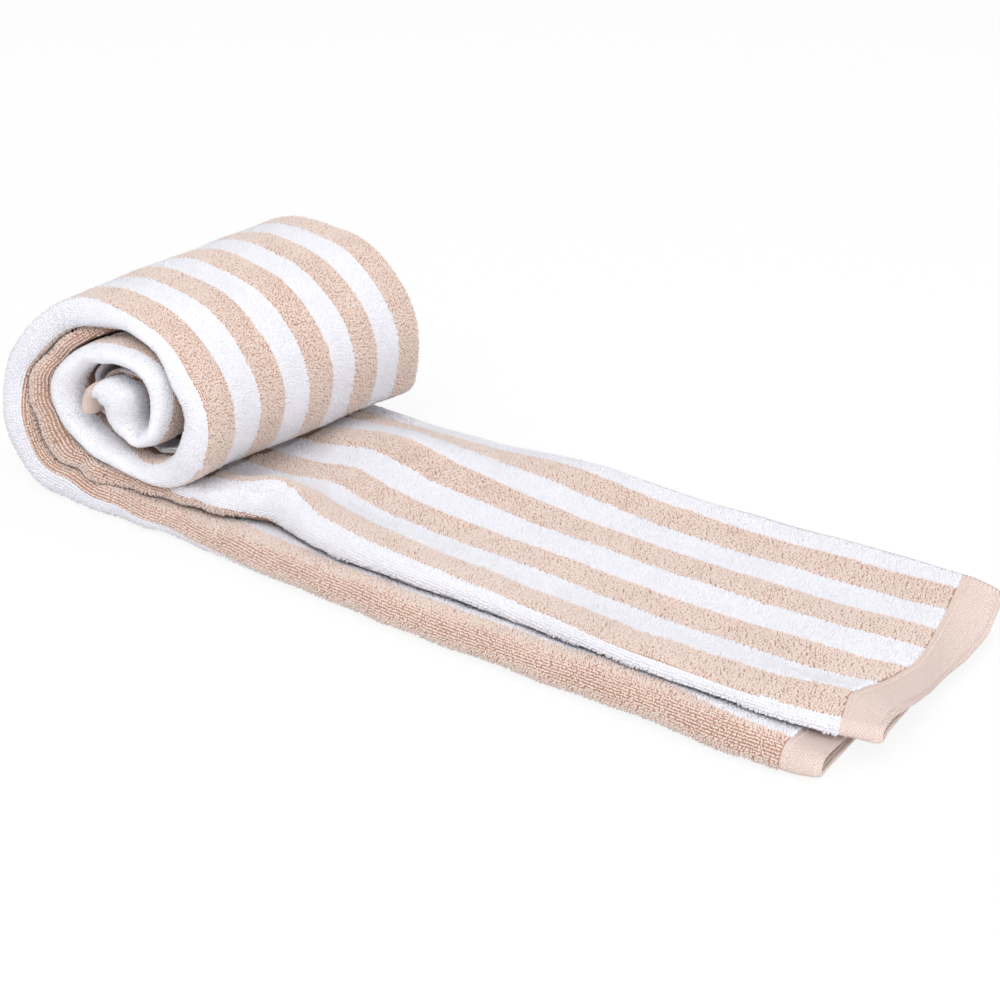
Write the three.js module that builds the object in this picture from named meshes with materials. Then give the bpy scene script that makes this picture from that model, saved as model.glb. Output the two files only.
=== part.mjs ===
// Bath sheet: one striped terry cloth with a flat hem at each end. It is folded back and forth
// along its length into four layers, then rolled up from one hem, and the other end is left
// lying out flat as a tail.
//
// Millimetres, +Z up. X runs along the tail towards its hem, Y across the fold, from the front
// where the two rounded folds show to the back where the free edges lie. The sheet is worked
// out with Y = 0 near its front and X = 0 a little in front of the roll, and is then set down
// with the origin under the middle of its box.
import * as THREE from 'three';

// Driving dimensions.
const cloth = 4.4; // thickness of the terry, loops on both faces
const hemCloth = 3; // thickness of the turned hem, which has no loops
const hemWidth = 23; // from the end of the cloth to the first loops
const stack = 32; // height of the four layers, folds included
const layerRise = 6.7; // from the middle of one layer to the next, away from the folds
const air = 0.5; // left between a fold and the layer next to it
const edgeAir = 1.6; // left between the back fold and the top layer's free edge
const foldEase = 52; // width over which a layer drops from a fold to its flat middle
const pileEdge = 3; // over which the loops thin out to the hem
const hemBow = 1.6; // how far the middle of the top hem bows out, for each millimetre it reaches

// The tail, from its hem to the roll. Each row says how far along it lies, where the two front
// folds, the back fold and the two free edges lie across, how far the lower and the upper layers
// reach past that row towards the hem, and how high each fold stands.
const tail = [
  {
    along: 505, lower: -2, upper: 31, back: 229, underEdge: 231, topEdge: 224, underEnd: -12, topEnd: 5,
    lowerFold: 14, backFold: 17, upperFold: 12,
  },
  {
    along: 482, lower: -11, upper: 21, back: 229, underEdge: 231, topEdge: 226, underEnd: -6, topEnd: 7,
    lowerFold: 19, backFold: 16, upperFold: 11,
  },
  {
    along: 450, lower: -13, upper: 5, back: 229, underEdge: 231, topEdge: 226, underEnd: -3, topEnd: 6,
    lowerFold: 22, backFold: 16, upperFold: 11,
  },
  {
    along: 410, lower: -11, upper: 5, back: 228, underEdge: 231, topEdge: 225, underEnd: -1, topEnd: 3,
    lowerFold: 22, backFold: 16, upperFold: 11,
  },
  {
    along: 340, lower: -10, upper: 8, back: 225, underEdge: 229, topEdge: 217, underEnd: 0, topEnd: 0,
    lowerFold: 21, backFold: 17, upperFold: 12,
  },
  {
    along: 270, lower: -12, upper: 14, back: 223, underEdge: 229, topEdge: 217, underEnd: 0, topEnd: 0,
    lowerFold: 20.5, backFold: 18, upperFold: 13,
  },
  {
    along: 205, lower: -10, upper: 12, back: 220, underEdge: 229, topEdge: 222, underEnd: 0, topEnd: 0,
    lowerFold: 20, backFold: 16, upperFold: 15,
  },
  {
    along: 155, lower: -9, upper: 12, back: 218, underEdge: 228, topEdge: 223, underEnd: 0, topEnd: 0,
    lowerFold: 20, backFold: 13, upperFold: 17,
  },
  {
    along: 128, lower: -8, upper: 15, back: 217, underEdge: 228, topEdge: 224, underEnd: 0, topEnd: 0,
    lowerFold: 20, backFold: 12, upperFold: 18.5,
  },
  {
    along: 110, lower: -7, upper: 20, back: 217, underEdge: 227, topEdge: 225, underEnd: 0, topEnd: 0,
    lowerFold: 20, backFold: 11, upperFold: 20,
  },
  {
    along: 92, lower: -6, upper: 25, back: 217, underEdge: 227, topEdge: 225, underEnd: 0, topEnd: 0,
    lowerFold: 20, backFold: 10.5, upperFold: 21,
  },
  {
    along: 74, lower: -4, upper: 17, back: 218, underEdge: 227, topEdge: 226, underEnd: 0, topEnd: 0,
    lowerFold: 19.5, backFold: 10, upperFold: 20,
  },
  {
    along: 56, lower: -3, upper: 12, back: 218, underEdge: 227, topEdge: 226, underEnd: 0, topEnd: 0,
    lowerFold: 19, backFold: 10, upperFold: 19,
  },
  {
    along: 38, lower: -2, upper: 11, back: 219, underEdge: 228, topEdge: 224, underEnd: 0, topEnd: 0,
    lowerFold: 19, backFold: 11, upperFold: 17.5,
  },
  {
    along: 12, lower: -2, upper: 11, back: 219, underEdge: 228, topEdge: 221, underEnd: 0, topEnd: 0,
    lowerFold: 19, backFold: 13, upperFold: 12.5,
  },
  {
    along: -37, lower: -2, upper: 5, back: 220, underEdge: 230, topEdge: 216, underEnd: 0, topEnd: 0,
    lowerFold: 19, backFold: 15, upperFold: 12.5,
  },
];

// The roll's axis, where the cloth leaves the ground and where it has wound in.
const outerAxis = { along: -37, up: 66 };
const innerAxis = { along: -25, up: 76 };

// Reach of the cloth's outside from that axis: a row for each turn and a column for each way
// round, in the order in which the cloth passes them. The last row is the hollow left inside.
const winding = [
  { low: 66, lowLeft: 86, left: 88, topLeft: 81.5, top: 65, topRight: 74.5, right: 87, lowRight: 62 },
  { low: 43, lowLeft: 46, left: 55, topLeft: 44.5, top: 40.5, topRight: 51, right: 55, lowRight: 38 },
  { low: 27, lowLeft: 27, left: 33.5, topLeft: 27, top: 24, topRight: 34, right: 31.5, lowRight: 28 },
];
const turnGap = 1; // kept free between one turn and the turn inside it
const restGap = 0.6; // kept free between the tail and the turn that rests on it
const restsUntil = 1.3; // turns wound where the cloth is clear of the tail again
const turnsWound = 1.7; // where the winding passes into the core

// The core, where the inner hem end turns back on itself: the cloth's outer and inner sides.
const coreTurn = 0.085; // turns from one row to the next
const innerHemTurn = 2.5; // where the loops stop and the inner hem starts
const core = [
  { outAlong: 19, outUp: 64, inAlong: 3, inUp: 74 },
  { outAlong: 8, outUp: 55, inAlong: -1, inUp: 68.5 },
  { outAlong: -5, outUp: 51, inAlong: -6, inUp: 66 },
  { outAlong: -18, outUp: 53, inAlong: -9.5, inUp: 69 },
  { outAlong: -27.5, outUp: 61.5, inAlong: -6, inUp: 77 },
  { outAlong: -32, outUp: 72, inAlong: -3, inUp: 89 },
  { outAlong: -34, outUp: 77.5, inAlong: -13, inUp: 96 },
  { outAlong: -36.5, outUp: 79, inAlong: -32, inUp: 96 },
  { outAlong: -39, outUp: 77.5, inAlong: -49, inUp: 90 },
  { outAlong: -40.5, outUp: 72, inAlong: -55, inUp: 79 },
  { outAlong: -41.5, outUp: 66, inAlong: -54.5, inUp: 69 },
];

// Where the folds and edges lie across in the roll and how high the folds stand, by turns wound
// from the ground. From the second turn on the lower fold is tall and hides the upper one.
const rolled = [
  {
    turn: 0, lower: -2, upper: 5, back: 220, underEdge: 230, topEdge: 216,
    lowerFold: 19, backFold: 15, upperFold: 12.5,
  },
  {
    turn: 0.12, lower: -2, upper: 2, back: 221, underEdge: 232, topEdge: 217,
    lowerFold: 18, backFold: 17, upperFold: 13,
  },
  {
    turn: 0.25, lower: -1, upper: 3, back: 225, underEdge: 236, topEdge: 219,
    lowerFold: 16.5, backFold: 18, upperFold: 14.5,
  },
  {
    turn: 0.36, lower: 17, upper: 23, back: 237, underEdge: 249, topEdge: 231,
    lowerFold: 19, backFold: 18, upperFold: 12,
  },
  {
    turn: 0.44, lower: 23, upper: 44, back: 240, underEdge: 254, topEdge: 235,
    lowerFold: 23, backFold: 18, upperFold: 10,
  },
  {
    turn: 0.5, lower: 22, upper: 49, back: 239, underEdge: 253, topEdge: 234,
    lowerFold: 25, backFold: 18, upperFold: 10,
  },
  {
    turn: 0.62, lower: 10, upper: 37, back: 229, underEdge: 241, topEdge: 222,
    lowerFold: 24, backFold: 18, upperFold: 10,
  },
  {
    turn: 0.75, lower: 1, upper: 28, back: 220, underEdge: 231, topEdge: 213,
    lowerFold: 24, backFold: 18, upperFold: 10,
  },
  {
    turn: 1, lower: 2, upper: 28, back: 221, underEdge: 229, topEdge: 214,
    lowerFold: 26, backFold: 18, upperFold: 10,
  },
  {
    turn: 1.25, lower: 3, upper: 30, back: 222, underEdge: 231, topEdge: 216,
    lowerFold: 26, backFold: 18, upperFold: 10,
  },
  {
    turn: 1.5, lower: 8, upper: 34, back: 225, underEdge: 234, topEdge: 218,
    lowerFold: 26, backFold: 18, upperFold: 10,
  },
  {
    turn: 2, lower: 4, upper: 29, back: 219, underEdge: 227, topEdge: 211,
    lowerFold: 27, backFold: 18, upperFold: 9,
  },
  {
    turn: 2.6, lower: 3, upper: 29, back: 217, underEdge: 225, topEdge: 209,
    lowerFold: 27, backFold: 18, upperFold: 9,
  },
];
const flare = { along: 0.03, up: 0.004 }; // how much bigger the roll is at its back than its front
const flareDepth = 230;
const flareStart = 0.12; // turns over which the flare sets in

// The roll sags where its outer turn comes down to rest on the tail, more at its back.
const sag = { turn: 0.865, turns: 0.07, reach: 26, inside: 0.4 };

// Soft humps and hollows in the tail, which lift or lower the top layer most.
const humps = [
  { along: 60, across: 46, long: 40, wide: 14, rise: 6 },
  { along: 88, across: 48, long: 22, wide: 12, rise: 5 },
  { along: 112, across: 155, long: 76, wide: 32, rise: 25 },
  { along: 110, across: 100, long: 45, wide: 22, rise: 6 },
  { along: 90, across: 224, long: 80, wide: 20, rise: -8 },
  { along: 210, across: 190, long: 50, wide: 30, rise: 9 },
  { along: 150, across: 50, long: 60, wide: 20, rise: 4 },
  { along: 455, across: 46, long: 70, wide: 16, rise: 7 },
  { along: 410, across: 180, long: 90, wide: 30, rise: -4 },
  { along: 250, across: 100, long: 70, wide: 60, rise: -1.5 },
  { along: 514, across: 150, long: 16, wide: 55, rise: -14 },
];

// Facets: along each turn of the roll, and across round each fold and over each layer.
const facetsPerTurn = 16;
const foldFacets = 6;
const layerFacets = 7;
const underFacets = 3;

const lerp = (from, to, share) => from + (to - from) * share;

// Runs smoothly from 0 to 1 as x goes from 0 to width.
function ease(x, width) {
  const share = Math.min(Math.max(x / width, 0), 1);
  return share * share * (3 - 2 * share);
}

// The row of a table at a place between its rows, where key is the column that orders them.
function rowAt(rows, key, value) {
  const rising = rows[rows.length - 1][key] > rows[0][key] ? 1 : -1;
  let next = rows.findIndex((row) => (row[key] - value) * rising >= 0);
  if (next < 0) next = rows.length - 1;
  if (next === 0) return rows[0];
  const [a, b] = [rows[next - 1], rows[next]];
  const share = Math.min((value - a[key]) / (b[key] - a[key]), 1);
  return Object.fromEntries(Object.keys(a).map((name) => [name, lerp(a[name], b[name], share)]));
}

// A smooth curve through the numbers of a list, read at a place between them.
function curveThrough(values, place) {
  const i = Math.min(Math.max(Math.floor(place), 0), values.length - 2);
  const s = place - i;
  const [a, b] = [values[i], values[i + 1]];
  const slopeA = (b - values[Math.max(i - 1, 0)]) / 2;
  const slopeB = (values[Math.min(i + 2, values.length - 1)] - a) / 2;
  const s2 = s * s;
  const s3 = s2 * s;
  return (2 * s3 - 3 * s2 + 1) * a + (s3 - 2 * s2 + s) * slopeA + (3 * s2 - 2 * s3) * b + (s3 - s2) * slopeB;
}

// The middle line of the folded cloth in one cross-section: how far across and how high above
// the ground side each of its points lies, and its share of the way from the first to the
// last layer.
function foldedLine(row) {
  const line = [];
  const heights = [0, 1, 2, 3].map((layer) => cloth / 2 + layer * layerRise);
  const lowerCentre = row.lower + row.lowerFold / 2;
  const backCentre = row.back - row.backFold / 2;
  const upperCentre = row.upper + row.upperFold / 2;
  const lowerTop = row.lowerFold - cloth / 2;
  const backBase = cloth * 1.5 + air;
  const backTop = backBase + row.backFold - cloth;
  // The upper fold rests on the second layer, which has already sunk a little if it lies far back.
  const sunk = (lowerTop - heights[1]) * ease(upperCentre - lowerCentre, foldEase);
  const upperBase = lowerTop - sunk + cloth + air;
  const upperTop = upperBase + row.upperFold - cloth;
  const topEdgeUp = backTop + cloth + edgeAir;

  const addLayer = (layer, fromAcross, toAcross, fromUp, toUp, steps) => {
    for (let i = 0; i <= steps; i++) {
      const share = (1 - Math.cos((Math.PI * i) / steps)) / 2;
      const across = lerp(fromAcross, toAcross, share);
      const nearFrom = 1 - ease(Math.abs(across - fromAcross), foldEase);
      const nearTo = 1 - ease(Math.abs(across - toAcross), foldEase);
      const up = heights[layer] + (fromUp - heights[layer]) * nearFrom + (toUp - heights[layer]) * nearTo;
      line.push({ across, up, upper: layer === 2 ? share : Number(layer === 3) });
    }
  };
  const addFold = (centreAcross, fromUp, toUp, side, upper) => {
    const radius = (toUp - fromUp) / 2;
    for (let i = 1; i < foldFacets; i++) {
      const angle = (Math.PI * i) / foldFacets;
      line.push({
        across: centreAcross + side * radius * Math.sin(angle),
        up: fromUp + radius * (1 - Math.cos(angle)),
        upper,
      });
    }
  };

  addLayer(0, row.underEdge, lowerCentre, cloth / 2, cloth / 2, underFacets);
  addFold(lowerCentre, cloth / 2, lowerTop, -1, 0);
  addLayer(1, lowerCentre, backCentre, lowerTop, backBase, layerFacets);
  addFold(backCentre, backBase, backTop, 1, 0);
  addLayer(2, backCentre, upperCentre, backTop, upperBase, layerFacets);
  addFold(upperCentre, upperBase, upperTop, -1, 1);
  addLayer(3, upperCentre, row.topEdge, upperTop, topEdgeUp, layerFacets);
  return line;
}

// The closed outline round that line: out along one side of the cloth and back on the other.
function clothOutline(row, thickness) {
  const line = foldedLine(row);
  const side = (sign) =>
    line.map((point, i) => {
      const before = line[Math.max(i - 1, 0)];
      const after = line[Math.min(i + 1, line.length - 1)];
      const run = Math.hypot(after.across - before.across, after.up - before.up);
      return {
        across: point.across - (sign * (thickness / 2) * (after.up - before.up)) / run,
        up: point.up + (sign * (thickness / 2) * (after.across - before.across)) / run,
        upper: point.upper,
      };
    });
  return [...side(1), ...side(-1).reverse()];
}

// Lift of the tail's top layer by the humps and hollows near a point.
function humpLift(along, across) {
  return humps.reduce((lift, hump) => {
    const far = ((along - hump.along) / hump.long) ** 2 + ((across - hump.across) / hump.wide) ** 2;
    return lift + hump.rise * Math.exp(-far);
  }, 0);
}

// A cross-section of the tail: the stack stands straight up from the ground.
function tailSection(row, thickness) {
  return clothOutline(row, thickness).map(({ across, up, upper }) => {
    const reach = lerp(row.underEnd, row.topEnd, upper);
    const middleness = Math.sin(Math.PI * Math.min(Math.max(across / row.topEdge, 0), 1));
    const bow = hemBow * row.topEnd * upper * middleness;
    const lift = humpLift(row.along, across) * (up / stack) ** 2;
    return new THREE.Vector3(row.along + reach + bow, across, up + lift);
  });
}

// The outside of the winding, a number of turns on from where the cloth leaves the ground.
const reaches = winding.flatMap((row) => Object.values(row));
const reachesPerTurn = reaches.length / winding.length;
function windingPoint(turn) {
  const reach = curveThrough(reaches, turn * reachesPerTurn);
  const inward = Math.min(turn, 1);
  const angle = 2 * Math.PI * turn;
  const along = lerp(outerAxis.along, innerAxis.along, inward) - reach * Math.sin(angle);
  const up = lerp(outerAxis.up, innerAxis.up, inward) - reach * Math.cos(angle);
  if (turn < 0.5) return { along, up: Math.max(up, 0) };
  if (turn < restsUntil) return { along, up: Math.max(up, stack + restGap) };
  return { along, up };
}

// A cross-section of the roll, with the stack lying from its outer to its inner side.
function rollSection(turn, outer, inner) {
  const row = rowAt(rolled, 'turn', turn);
  const flared = ease(turn, flareStart);
  const sagged = sag.reach * Math.exp(-(((turn - sag.turn) / sag.turns) ** 2));
  const room = Math.hypot(inner.along - outer.along, inner.up - outer.up);
  const used = (room - turnGap) / room;
  const thickness = turn > innerHemTurn ? hemCloth : cloth;
  return clothOutline(row, thickness).map(({ across, up }) => {
    const share = (up / stack) * used;
    const back = across / flareDepth;
    const along = lerp(outer.along, inner.along, share) + sagged * back * lerp(1, sag.inside, share);
    const height = lerp(outer.up, inner.up, share);
    return new THREE.Vector3(
      outerAxis.along + (along - outerAxis.along) * (1 + flare.along * flared * back),
      across,
      height * (1 + flare.up * flared * back),
    );
  });
}

// All cross-sections in order, from the tail's hem to the inner hem.
function sections() {
  const list = [];
  const loopsStart = tail[0].along - hemWidth;
  for (const row of tail) {
    list.push(tailSection(row, row.along >= loopsStart ? hemCloth : cloth));
    if (row.along === loopsStart) {
      list.push(tailSection(rowAt(tail, 'along', loopsStart - pileEdge), cloth));
    }
  }

  const turnSteps = Math.round(turnsWound * facetsPerTurn);
  for (let i = 1; i <= turnSteps; i++) {
    const turn = (turnsWound * i) / turnSteps;
    list.push(rollSection(turn, windingPoint(turn), windingPoint(turn + 1)));
  }
  core.forEach((row, i) => {
    const turn = turnsWound + (i + 1) * coreTurn;
    const outer = { along: row.outAlong, up: row.outUp };
    const inner = { along: row.inAlong, up: row.inUp };
    list.push(rollSection(turn, outer, inner));
  });
  return list;
}

// A closed skin over the cross-sections, with an end face at each hem.
function skin(rings) {
  const count = rings[0].length;
  const positions = rings.flatMap((ring) => ring.flatMap((point) => point.toArray()));
  const faces = [];
  const quad = (a, b, c, d) => faces.push(a, b, c, a, c, d);
  for (let ring = 0; ring < rings.length - 1; ring++) {
    for (let i = 0; i < count; i++) {
      const next = (i + 1) % count;
      const base = ring * count;
      quad(base + i, base + next, base + count + next, base + count + i);
    }
  }
  const last = (rings.length - 1) * count;
  for (let i = 0; i < count / 2 - 1; i++) {
    const facing = count - 1 - i;
    quad(i, facing, facing - 1, i + 1);
    quad(last + i, last + i + 1, last + facing - 1, last + facing);
  }
  const geometry = new THREE.BufferGeometry();
  geometry.setAttribute('position', new THREE.Float32BufferAttribute(positions, 3));
  geometry.setIndex(faces);
  return geometry;
}

const towelling = skin(sections());
towelling.computeBoundingBox();
const middle = towelling.boundingBox.getCenter(new THREE.Vector3());
towelling.translate(-middle.x, -middle.y, 0);
towelling.computeVertexNormals();

const terry = new THREE.MeshStandardMaterial({ color: 0xeadbd2, roughness: 0.95, metalness: 0 });
const sheet = new THREE.Mesh(towelling, terry);
sheet.name = 'bath_sheet';

const group = new THREE.Group();
group.add(sheet);

export default group;
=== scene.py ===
# %% [markdown]
# # A striped bath sheet, folded, rolled and partly laid out
#
# This notebook dresses one towel. The towel is a single cloth, 0.9 m wide and about 1.2 m long,
# woven in even stripes, with a flat hem at each end. It lies folded lengthwise into four layers,
# then rolled up from one hem, with the other end left lying out as a tail.
#
# Every object is in metres in that frame, so a new piece goes exactly where the solid already
# is, and nothing is fitted by eye.

# %% Load the frame
import math
import bpy
import numpy as np
from mathutils import Matrix, Vector
from mathutils.bvhtree import BVHTree


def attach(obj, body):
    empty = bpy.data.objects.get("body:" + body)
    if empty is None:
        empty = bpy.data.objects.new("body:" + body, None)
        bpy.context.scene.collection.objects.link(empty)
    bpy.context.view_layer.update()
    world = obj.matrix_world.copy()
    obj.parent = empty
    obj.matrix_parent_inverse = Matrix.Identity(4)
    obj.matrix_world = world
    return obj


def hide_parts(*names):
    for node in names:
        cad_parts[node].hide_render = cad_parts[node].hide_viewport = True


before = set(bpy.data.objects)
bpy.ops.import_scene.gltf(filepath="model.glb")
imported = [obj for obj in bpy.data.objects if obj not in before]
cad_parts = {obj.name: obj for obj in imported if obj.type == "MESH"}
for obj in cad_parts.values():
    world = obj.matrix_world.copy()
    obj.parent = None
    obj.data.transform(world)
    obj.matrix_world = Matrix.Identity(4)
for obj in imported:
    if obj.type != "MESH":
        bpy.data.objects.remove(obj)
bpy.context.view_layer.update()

# %% [markdown]
# ## The sizes of the cloth
#
# Terry is a ground weave with loops on both faces. The solid has one thickness for the whole,
# 4.4 mm. Here the ground is a thin sheet and the loops are real pieces that stand on it, so the
# ground is thinner and the loops fill the rest. Every size is in millimetres and is turned to
# metres at the end, because the tables are easier to read that way.

# %% Sizes, in millimetres
MM = 0.001
CLOTH = 4.4           # thickness with the loops, which sets how the layers lie
GROUND = 2.5          # thickness of the woven ground under the loops
HEM = 3.0             # thickness of the turned hem, which has no loops
HEM_WIDTH = 23.0
STITCH_STEP = 3.0
STITCH_IN, EDGE_SEAM = 3.2, 2.4    # the stitches from the hem's inner edge, the seam from its end
STRIPE = 24.0
STRIPES_ACROSS = 37.75
WIDTH = STRIPE * STRIPES_ACROSS
STACK = 32.0          # height of the four layers, folds included
LAYER_RISE = 6.7      # from the middle of one layer to the next
AIR = 0.5
EDGE_AIR = 1.6        # left between the back fold and the top layer's free edge
FOLD_EASE = 52.0      # width over which a layer drops from a fold to its flat middle
BACK_STRIPE = 19.8    # stripes from the first edge to the back fold

def table(columns, *rows):
    """A small table as one array for each named column."""
    return dict(zip(columns.split(), np.array(rows, float).T))

# %% [markdown]
# ## Where the folds lie
#
# A folded towel is never square: each fold wanders a little, and the free edges lie in and out.
# A short table holds that, with a row for each place along the tail and each part of a turn in
# the roll. The other way would be to drape a flat sheet with a cloth simulation, but a folded
# and rolled stack of thick cloth seldom settles well, so the folds are given one by one.

# %% Tables of the tail and the roll
TAIL = table(
    "along lower upper back under_edge top_edge under_end lower_fold back_fold upper_fold"
    " lower_stripe upper_stripe",
    (505, -2, 31, 229, 231, 224, -12, 14, 17, 12, 10.4, 29.8),
    (482, -11, 21, 229, 231, 226, -6, 19, 16, 11, 10.4, 29.75),
    (450, -13, 5, 229, 231, 226, -3, 22, 16, 11, 10.4, 29.75),
    (410, -11, 5, 228, 231, 225, -1, 22, 16, 11, 10.4, 29.85),
    (340, -10, 8, 225, 229, 217, 0, 21, 17, 12, 10.4, 29.8),
    (270, -12, 14, 223, 229, 217, 0, 20.5, 18, 13, 10.4, 29.6),
    (205, -10, 12, 220, 229, 222, 0, 20, 16, 15, 10.35, 29.5),
    (155, -9, 12, 218, 228, 223, 0, 20, 13, 17, 10.3, 29.4),
    (128, -8, 15, 217, 228, 224, 0, 20, 12, 18.5, 10.25, 29.3),
    (110, -7, 17, 217, 227, 225, 0, 20, 11, 20, 10.2, 29.2),
    (92, -6, 45, 217, 227, 225, 0, 20, 10.5, 21, 10.2, 29.1),
    (74, -4, 8, 218, 227, 226, 0, 19.5, 10, 20, 10.15, 29.0),
    (56, -3, 9, 218, 227, 226, 0, 19, 10, 19, 10.1, 28.98),
    (38, -2, 11, 219, 228, 224, 0, 19, 11, 17.5, 10.05, 29.0),
    (24, -2, 11, 219, 228, 222.5, 0, 19, 12, 15, 10, 28.97),
    (12, -2, 11, 219, 228, 221, 0, 19, 13, 12.5, 10, 28.85),
    (0, -2, 9.5, 219, 228, 220, 0, 19, 13.5, 12.5, 9.95, 28.55),
    (-37, -2, 5, 220, 230, 216, 0, 19, 15, 12.5, 9.9, 28.5))
ROLLED = table(
    "turn lower upper back under_edge top_edge lower_fold back_fold upper_fold lower_stripe upper_stripe",
    (0, -2, 5, 220, 230, 216, 19, 15, 12.5, 9.9, 28.5),
    (0.12, -2, 2, 221, 232, 217, 18, 17, 13, 9.8, 28.5),
    (0.25, -1, 3, 225, 236, 219, 16.5, 18, 14.5, 9.7, 28.5),
    (0.36, 17, 23, 237, 249, 231, 19, 18, 12, 9.6, 28.5),
    (0.44, 23, 44, 240, 254, 235, 23, 18, 10, 9.55, 28.8),
    (0.5, 22, 49, 239, 253, 234, 25, 18, 10, 9.5, 29),
    (0.62, 10, 37, 229, 241, 222, 24, 18, 10, 9.5, 29),
    (0.75, 1, 28, 220, 231, 213, 24, 18, 10, 9.5, 29),
    (1, 2, 28, 221, 229, 214, 26, 18, 10, 9.5, 29),
    (1.25, 3, 30, 222, 231, 216, 26, 18, 10, 9.5, 29),
    (1.5, 8, 34, 225, 234, 218, 26, 18, 10, 9.4, 29),
    (2, 4, 29, 219, 227, 211, 27, 18, 9, 9.2, 29),
    (2.6, 3, 29, 217, 225, 209, 27, 18, 9, 9.5, 29))
OUTER_AXIS, INNER_AXIS = np.array([-37.0, 66.0]), np.array([-25.0, 76.0])
# Reach of the cloth's outside from that axis: under, lower left, left, upper left, over, upper
# right, right and lower right, a line for each turn and one for the hollow inside.
REACH = np.array([
    66, 86, 88, 81.5, 65, 74.5, 87, 62,
    43, 46, 55, 44.5, 40.5, 51, 55, 38,
    27, 27, 33.5, 27, 24, 34, 31.5, 28])
TURN_GAP, REST_GAP, RESTS_UNTIL, TURNS_WOUND = 1.0, 0.6, 1.3, 1.7
CORE = table("out_along out_up in_along in_up",
    (19, 64, 3, 74), (8, 55, -1, 68.5), (-5, 51, -6, 66), (-18, 53, -9.5, 69),
    (-27.5, 61.5, -6, 77), (-32, 72, -3, 89), (-34, 77.5, -13, 96), (-36.5, 79, -32, 96),
    (-39, 77.5, -49, 90), (-40.5, 72, -55, 79), (-41.5, 66, -54.5, 69))
FLARE_ALONG, FLARE_UP, FLARE_DEPTH, FLARE_START = 0.03, 0.004, 230.0, 0.12
# Where the outer turn comes down to rest on the tail, the roll sags, more at its back.
SAG_TURN, SAG_TURNS, SAG_REACH, SAG_INSIDE = 0.865, 0.07, 26.0, 0.4
HUMPS = table("along across long wide rise",
    (60, 46, 40, 14, 6), (88, 48, 22, 12, 5), (112, 155, 76, 32, 25), (110, 100, 45, 22, 6),
    (90, 224, 80, 20, -8), (210, 190, 50, 30, 9), (150, 50, 60, 20, 4), (455, 46, 70, 16, 7),
    (410, 180, 90, 30, -4), (250, 100, 70, 60, -1.5))
# The top hem: how far its loop line and its end reach past the rows above, and how far it droops.
TOP_HEM = table("across start end droop",
    (0, 14, 10, 3), (15, 15, 9, 2), (30, 12, 8, 1), (45, 8, 8, 0), (66, 9, 9, 2), (85, 16, 8, 7),
    (105, 20, 7, 11), (130, 19, 7, 13), (155, 15, 9, 13), (188, 10, 9, 12), (216, 5, 6, 7), (230, 3, 3, 3))
# Stripe edges that drift along the cloth: the edge's number, how far it goes in stripes, the
# width it takes with it, and where along the flat cloth the drift starts and is complete.
DRIFT = table("edge by over from_x to_x",
    (11, 0.3, 0.45, 50, 110), (9, -0.35, 0.5, 900, 960), (10, 0.55, 0.6, 900, 960))
# The middle of the solid's box, which is where the frame has its origin.
MIDDLE = np.array([196.7205, 120.4938, 0.0])

# %% [markdown]
# ## One cross-section of the folded stack
#
# Seen from the hem, the cloth runs back and forth: from the free edge at the back, round the
# lower front fold, round the back fold, round the upper front fold, and to the other free edge.
# The points lie closer together in the folds, where the cloth turns fast. Each point also
# remembers how far across the flat cloth it is, counted in stripes: the stripes follow from
# that, wherever the cloth goes.

# %% The folded line
LAYER_STEPS, FOLD_STEPS = 28, 12

def ease(x, width):
    share = np.clip(x / width, 0, 1)
    return share * share * (3 - 2 * share)

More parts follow.
